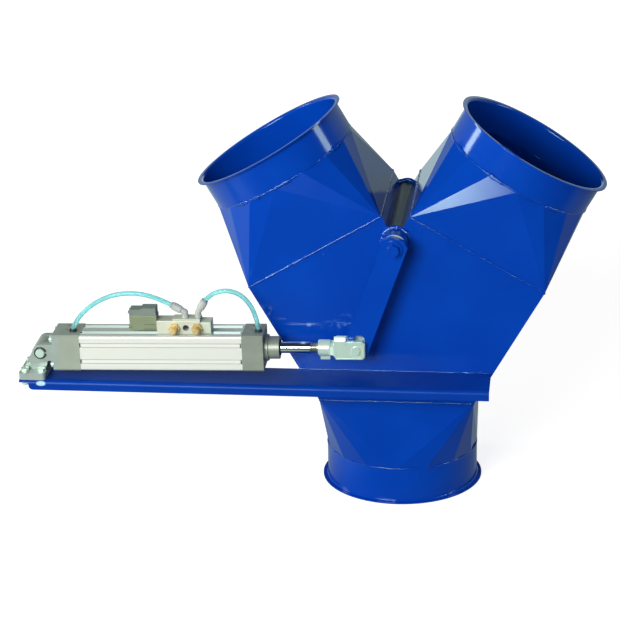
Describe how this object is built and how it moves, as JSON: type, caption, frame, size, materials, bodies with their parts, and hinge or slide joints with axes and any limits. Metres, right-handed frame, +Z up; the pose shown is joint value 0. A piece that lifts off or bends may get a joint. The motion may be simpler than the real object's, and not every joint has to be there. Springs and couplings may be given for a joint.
{
  "type": "duct diverter valve",
  "caption": "Two-way diverter valve for round duct: a welded Y body with a hanging flap, turned by an air cylinder through a lever on its shaft.",
  "frame": {"origin": "centre of the outlet collar's lip face, which the valve stands on", "axes": "+Z up along the outlet towards the two legs, +X towards the right leg and away from the rear of the cylinder, -Y towards the air cylinder"},
  "size_m": [1.0226, 0.387, 0.7098],
  "materials": {
    "blue_paint": "gloss",
    "zinc_plate": "zinc plated",
    "mill_steel": "bare",
    "cast_grey": "cast and painted",
    "anodised": "anodised",
    "hard_chrome": "polished",
    "brass": "satin",
    "bronze": "turned",
    "rubber": "matt",
    "grey_plastic": "moulded",
    "olive_plastic": "moulded",
    "white_plastic": "extruded",
    "black_plastic": "moulded",
    "blue_tube": "translucent"
  },
  "bodies": {
    "housing": {"outlet_collar": "blue_paint", "outlet_transition": "blue_paint", "front_plate": "blue_paint", "rear_plate": "blue_paint", "shaft_tube": "blue_paint", "bush_front": "bronze", "bush_rear": "bronze", "cylinder_bracket": "blue_paint", "pivot_block": "cast_grey", "pivot_block_bolts": "zinc_plate", "pivot_block_washers": "zinc_plate", "pivot_block_nuts": "zinc_plate", "inlet_transition_left": "blue_paint", "inlet_transition_right": "blue_paint", "inlet_collar_left": "blue_paint", "inlet_collar_right": "blue_paint", "side_plate_left": "blue_paint", "side_plate_right": "blue_paint", "crotch_plate_left": "blue_paint", "crotch_plate_right": "blue_paint"},
    "flap": {"flap_shaft": "mill_steel", "flap_plate_left": "mill_steel", "flap_plate_right": "mill_steel", "flap_rubber": "rubber", "flap_bolts": "zinc_plate", "flap_nuts": "zinc_plate", "shaft_washer": "zinc_plate", "shaft_circlip": "mill_steel", "lever_spacer": "blue_paint", "lever": "blue_paint", "lever_washer": "blue_paint", "lever_bolt": "blue_paint"},
    "cylinder": {"rear_cap": "cast_grey", "front_cap": "cast_grey", "barrel": "anodised", "cap_bolts": "zinc_plate", "rear_clevis": "cast_grey", "clevis_bolts": "zinc_plate", "clevis_pin": "zinc_plate", "clevis_pin_rings": "mill_steel", "cushion_screws": "zinc_plate", "rod_wiper": "rubber", "valve_body": "anodised", "valve_end_cover": "grey_plastic", "pilot_block": "olive_plastic", "coil_housing": "grey_plastic", "pilot_screws": "mill_steel", "silencers": "brass", "elbow_left": "grey_plastic", "elbow_right": "grey_plastic", "elbow_collars": "black_plastic", "groove_strips": "white_plastic", "port_fittings": "black_plastic", "air_tube_rear": "blue_tube", "air_tube_front": "blue_tube"},
    "rod": {"piston_rod": "hard_chrome", "piston": "anodised", "piston_seal": "rubber", "fork_head": "zinc_plate", "fork_clip": "zinc_plate"}
  },
  "joints": [
    {"name": "flap_swing", "type": "hinge", "parent": "housing", "child": "flap", "pos_m": [0, 0, 0.49771], "axis": [0, -1, 0], "range_deg": [0, 49.2]},
    {"name": "cylinder_tilt", "type": "hinge", "parent": "housing", "child": "cylinder", "pos_m": [-0.62047, -0.183, 0.303], "axis": [0, -1, 0], "range_deg": [0, 0.502]},
    {"name": "rod_slide", "type": "slide", "parent": "cylinder", "child": "rod", "axis": [0.9998, 0, 0.0217], "range_m": [0, 0.16178]}
  ],
  "couplings": [
    {"joint": "cylinder_tilt", "follows": "flap_swing", "ratio": 0.01},
    {"joint": "rod_slide", "follows": "flap_swing", "m_per_rad": 0.18817}
  ]
}
